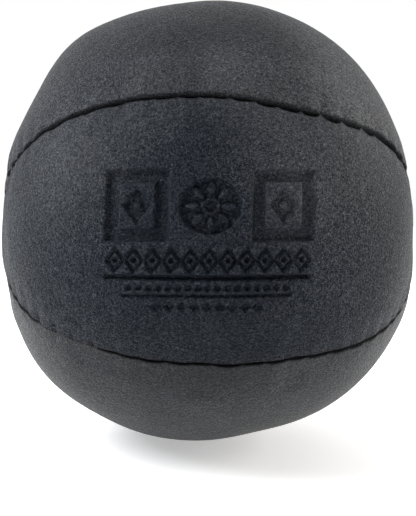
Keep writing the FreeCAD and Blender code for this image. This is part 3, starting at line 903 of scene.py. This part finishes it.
def leather_material(name, tone, cool, grain, gloss):
    """Black leather with a fine nap.

    tone is how pale the gore is, cool how much blue is added over its grain, grain how strong the nap
    shows, and gloss how much it shines.
    """
    n = Nodes(name)
    spot = in_millimetres(n)
    cloudy = n.noise(spot, scale=0.09, detail=3.0, roughness=0.55)
    patches = n.noise(spot, scale=0.13, detail=2.0)
    folds = n.noise(spot, scale=0.75, detail=3.0, roughness=0.6)
    pebble = n.node("ShaderNodeTexVoronoi", spot, Scale=2.6, Randomness=1.0).outputs["Distance"]
    nap = n.noise(spot, scale=3.3, detail=2.0, roughness=0.8, distortion=0.9)
    specks = n.noise(spot, scale=6.5, detail=1.0, roughness=0.6)
    groove, fade, burnish_and_shade = n.mask("groove"), n.mask("fade"), n.mask("burnish_and_shade")

    def dye(amount, blue=1.0):
        """Near-black in this gore's tone, with a tinge of blue."""
        return tuple(amount * tone * (1 + part * blue) for part in (0.0, 0.05, 0.15)) + (1,)

    colour = n.mix("MIX", dye(0.003), dye(0.006), n.ramp(cloudy, (0.3, 0.0), (0.7, 1.0)))
    colour = n.mix("MIX", colour, dye(0.006, 1.6), n.ramp(patches, (0.45, 0.0), (0.72, 0.8)))
    # the spots scale the colour: painted highlights and painted shade on the front, uneven dye round the
    # back
    colour = n.mix("MULTIPLY", colour, n.ramp(fade, (0.0, 0.0), (0.25, 1.0)), 1.0)
    # the lips' crests and the rims of the pressed shapes: wear and a painted highlight, paler than the
    # leather
    wear_and_highlight = n.mix("MULTIPLY", n.mask("crest"), n.ramp(folds, (0.3, 0.05), (0.7, 0.5)), 1.0)
    colour = n.mix("MIX", colour, LIP_WEAR_AND_HIGHLIGHT, wear_and_highlight)
    # the raw edge: brownish cut leather and a painted highlight
    colour = n.mix("MIX", colour, RAW_EDGE_HIGHLIGHT, n.mask("raw_edge_highlight"))
    # painted shade: near-black in the grooves and in the band along each seam
    colour = n.mix("MIX", colour, GROOVE_SHADE_COLOUR, groove)
    # the burnt leather and painted shade of the stamped area, with its nap
    burnt_and_shaded = n.mix("MULTIPLY", BURNT_AND_SHADE_COLOUR, n.ramp(nap, (0.44, 0.0), (0.64, 2.7)), 1.0)
    colour = n.mix("MIX", colour, burnt_and_shaded, burnish_and_shade)
    colour = n.mix("MULTIPLY", colour, n.ramp(nap, (0.37, 0.05), (0.5, 1.0), (0.64, 2.5)), grain)
    colour = n.mix("MULTIPLY", colour, n.ramp(specks, (0.37, 0.15), (0.5, 1.0), (0.64, 2.4)), grain)
    # where the spots are paler, a pale napped colour is added: painted highlight on the front, uneven
    # dye round the back
    light_share = n.ramp(fade, (0.25, 0.0), (1.0, 0.04))
    pale = n.mix("MULTIPLY", light_share, n.ramp(nap, (0.36, 0.5), (0.64, 1.5)), 1.0)
    colour = n.mix("ADD", colour, pale, 1.0)
    blue = (0, 0.0011 * cool, 0.0034 * cool, 1)
    tint = n.mix("MULTIPLY", blue, n.ramp(groove, (0.0, 1.0), (1.0, 0.1)), 1.0)
    colour = n.mix("ADD", colour, tint, 1.0)
    rough = n.mix("MIX", n.ramp(specks, (0.38, 0.7), (0.62, 0.38)), (0.3, 0.3, 0.3, 1), burnish_and_shade)
    # the painted shade in the grooves is also fully rough and has almost no shine
    rough = n.mix("MIX", rough, (1, 1, 1, 1), groove)
    shine = n.ramp(nap, (0.4, gloss * (1 - 0.4 * grain)), (0.6, gloss * (1 + 0.4 * grain)))
    shine = n.mix("MIX", shine, (0.02, 0.02, 0.02, 1), groove)
    lower = n.bump(folds, 0.25, 0.0005)
    middle = n.bump(pebble, 0.35, 0.0002, lower)
    n.set(
        Base_Color=colour,
        Roughness=rough,
        Specular_IOR_Level=shine,
        Sheen_Weight=0.02,
        Sheen_Roughness=0.35,
        Normal=n.bump(nap, 0.8 * grain, 0.00025, middle),
    )
    return n.material


def spun_material(name, colour, dark, scale, roughness):
    """Thread, twine or canvas: fine twisted strands by a wave pattern across noise."""
    n = Nodes(name)
    spot = in_millimetres(n)
    strands = n.node("ShaderNodeTexWave", spot, Scale=scale, Distortion=2.5, Detail=2.0).outputs["Fac"]
    fibres = n.noise(spot, scale=scale * 2, detail=4.0, roughness=0.7)
    pattern = n.mix("MULTIPLY", strands, n.ramp(fibres, (0.2, 0.4), (0.8, 1.0)), 1.0)
    n.set(
        Base_Color=n.mix("MIX", (*dark, 1), (*colour, 1), pattern),
        Roughness=n.ramp(fibres, (0.2, roughness - 0.1), (0.8, roughness + 0.1)),
        Normal=n.bump(pattern, 0.5, 0.0001),
    )
    return n.material


def grainy_material(name, colour, dark, scale):
    """Sand grains or packed fibre: speckled colour over a bumpy noise."""
    n = Nodes(name)
    spot = in_millimetres(n)
    grains = n.node("ShaderNodeTexVoronoi", spot, Scale=scale).outputs["Distance"]
    clouds = n.noise(spot, scale=scale / 4, detail=5.0)
    n.set(
        Base_Color=n.mix("MIX", (*dark, 1), (*colour, 1), n.mix("MIX", grains, clouds, 0.6)),
        Roughness=n.ramp(clouds, (0.2, 0.8), (0.8, 1.0)),
        Normal=n.bump(grains, 0.6, 0.0002),
    )
    return n.material


# ---------------------------------------------------------------- build


def give(obj, material):
    """Makes a material the object's only one."""
    obj.data.materials.clear()
    obj.data.materials.append(material)


# each gore's tone, cool, grain and gloss. The lower front gore's paler tone is partly its own leather
# and partly painted light, where the floor lights it from below
TONES = {
    "front": (2.2, 2.0, 0.95, 0.12),
    "lower_front": (3.6, 0.7, 0.5, 0.23),
    "upper_front": (2.9, 1.4, 0.9, 0.16),
    "back": (2.4, 1.5, 1.0, 0.15),
    "upper_back": (2.9, 1.2, 1.0, 0.16),
    "lower_back": (2.7, 1.3, 0.9, 0.16),
}
black_thread = spun_material("waxed_thread", (0.030, 0.028, 0.028), (0.008, 0.008, 0.008), 3.0, 0.55)
CARRIED = {
    "lining": spun_material("cotton_canvas", (0.72, 0.66, 0.54), (0.48, 0.43, 0.34), 2.2, 0.85),
    "core_bag": spun_material("core_canvas", (0.70, 0.63, 0.50), (0.45, 0.40, 0.30), 2.2, 0.85),
    "core_twine": spun_material("jute_twine", (0.55, 0.43, 0.27), (0.30, 0.22, 0.12), 2.6, 0.8),
    "core_sand": grainy_material("dry_sand", (0.72, 0.62, 0.46), (0.38, 0.30, 0.20), 2.5),
    "stuffing": grainy_material("fibre_stuffing", (0.80, 0.78, 0.74), (0.55, 0.53, 0.49), 0.8),
}
for node_name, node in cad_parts.items():
    for start, material in CARRIED.items():
        if node_name.startswith(start):
            for slot in node.material_slots:
                slot.material = material

# the spacing of each gore's points: fine, coarse, dense_a and dense_q
BACK_DETAIL = (0.34, 0.34, 0.0, 0.0)
DETAIL = {
    "front": (0.135, 0.28, 15.0, 11.0),
    "upper_front": (0.3, 0.3, 0.0, 0.0),
    "lower_front": (0.3, 0.3, 0.0, 0.0),
}
COVER = Cover()
for label, degrees in GORES.items():
    fine, coarse, dense_a, dense_q = DETAIL.get(label, BACK_DETAIL)
    stamp = ornament if label == "front" else None
    gore = gore_mesh(f"leather_gore_{label}", degrees, fine, coarse, dense_a, dense_q, stamp)
    give(gore, leather_material(f"black_leather_{label}", *TONES[label]))
    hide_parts(f"panel_{label}")
    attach(gore, "root")

THREADS = {
    30: "closing_seam_thread",
    90: "upper_seam_thread",
    150: "upper_back_seam_thread",
    210: "lower_back_seam_thread",
    270: "lower_seam_thread",
    330: "front_lower_seam_thread",
}
for degrees, node_name in THREADS.items():
    thread = seam_thread(f"sewn_{node_name}", SEAMS[degrees])
    give(thread, black_thread)
    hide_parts(node_name)
    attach(thread, "root")

for side, label in ((-1, "left"), (1, "right")):
    knot = pole_knot(f"sewn_pole_tie_{label}", side)
    give(knot, black_thread)
    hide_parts(f"pole_tie_{label}")
    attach(knot, "root")


# ---------------------------------------------------------------- floor, light and camera

FLOOR_Z = cad_box[0][2] - 0.0002
FLOOR_HALF = 1.5
corners = [(x * FLOOR_HALF, y * FLOOR_HALF, FLOOR_Z) for x, y in ((-1, -1), (1, -1), (1, 1), (-1, 1))]
floor_mesh = bpy.data.meshes.new("floor")
floor_mesh.from_pydata(corners, [], [(0, 1, 2, 3)])
floor = bpy.data.objects.new("floor", floor_mesh)
bpy.context.collection.objects.link(floor)
floor_nodes = Nodes("pale_floor")
floor_nodes.set(Base_Color=(0.95, 0.95, 0.95, 1), Roughness=0.95, Specular_IOR_Level=0.1)
floor_nodes.set(Emission_Color=(1, 1, 1, 1), Emission_Strength=0.4)
give(floor, floor_nodes.material)

# the way to the dark side of the room, its colour, and how strongly the room lights the ball
DARK_SIDE = (0.12, -0.96, -0.2)
DIM = (0.02, 0.024, 0.032)
ROOM_LIGHT = 1.15


def studio_world():
    """White all round, and dim in front and a little below. The camera sees it plain white."""
    world = bpy.data.worlds.new("studio")
    bpy.context.scene.world = world
    world.use_nodes = True
    tree = world.node_tree
    lit, link = tree.nodes["Background"], tree.links.new
    way = tree.nodes.new("ShaderNodeTexCoord").outputs["Generated"]
    facing = tree.nodes.new("ShaderNodeVectorMath")
    facing.operation = "DOT_PRODUCT"
    facing.inputs[1].default_value = DARK_SIDE
    link(way, facing.inputs[0])
    ramp = tree.nodes.new("ShaderNodeValToRGB")
    bright, dim = ramp.color_ramp.elements
    bright.position, bright.color = 0.0, (1, 1, 1, 1)
    dim.position, dim.color = 0.35, (*DIM, 1)
    link(facing.outputs["Value"], ramp.inputs[0])
    link(ramp.outputs[0], lit.inputs["Color"])
    lit.inputs["Strength"].default_value = ROOM_LIGHT
    plain = tree.nodes.new("ShaderNodeBackground")
    plain.inputs["Color"].default_value = (1, 1, 1, 1)
    choose = tree.nodes.new("ShaderNodeMixShader")
    link(tree.nodes.new("ShaderNodeLightPath").outputs["Is Camera Ray"], choose.inputs[0])
    link(lit.outputs[0], choose.inputs[1])
    link(plain.outputs[0], choose.inputs[2])
    link(choose.outputs[0], tree.nodes["World Output"].inputs["Surface"])


studio_world()


def softbox(name, at, size, power, colour):
    """A square area light aimed at the ball."""
    light = bpy.data.lights.new(name, "AREA")
    light.shape, light.size, light.energy, light.color = "SQUARE", size, power, colour
    obj = bpy.data.objects.new(name, light)
    obj.location = at
    obj.rotation_euler = (-Vector(at)).to_track_quat("-Z", "Y").to_euler()
    bpy.context.collection.objects.link(obj)


softbox("key_light", (-0.45, -0.12, 0.36), 0.25, 3.4, (0.95, 0.98, 1.0))
softbox("fill_light", (0.5, 0.03, 0.15), 0.3, 2.2, (1.0, 0.95, 0.88))

# the lens and distance together set how far round the ball the camera sees
SENSOR, LENS = 36.0, 58.4
CAMERA_DISTANCE = 0.134
CAMERA_AZIMUTH, CAMERA_ELEVATION = math.radians(-3.3), math.radians(1.7)
CAMERA_ROLL = math.radians(2.1)
AIM_AT = Vector((0.0005, 0, -0.0053))
camera_data = bpy.data.cameras.new("camera")
camera_data.sensor_width, camera_data.lens = SENSOR, LENS
camera_data.clip_start, camera_data.clip_end = 0.01, 10
camera = bpy.data.objects.new("camera", camera_data)
bpy.context.collection.objects.link(camera)
bpy.context.scene.camera = camera
out_to_camera = Vector((
    math.sin(CAMERA_AZIMUTH) * math.cos(CAMERA_ELEVATION),
    -math.cos(CAMERA_AZIMUTH) * math.cos(CAMERA_ELEVATION),
    math.sin(CAMERA_ELEVATION),
))
camera.location = out_to_camera * CAMERA_DISTANCE
look = (AIM_AT - camera.location).to_track_quat("-Z", "Y").to_matrix().to_4x4()
camera.matrix_world = Matrix.Translation(camera.location) @ look @ Matrix.Rotation(CAMERA_ROLL, 4, "Z")

bpy.context.scene.view_settings.view_transform = "Standard"
bpy.context.scene.view_settings.look = "None"
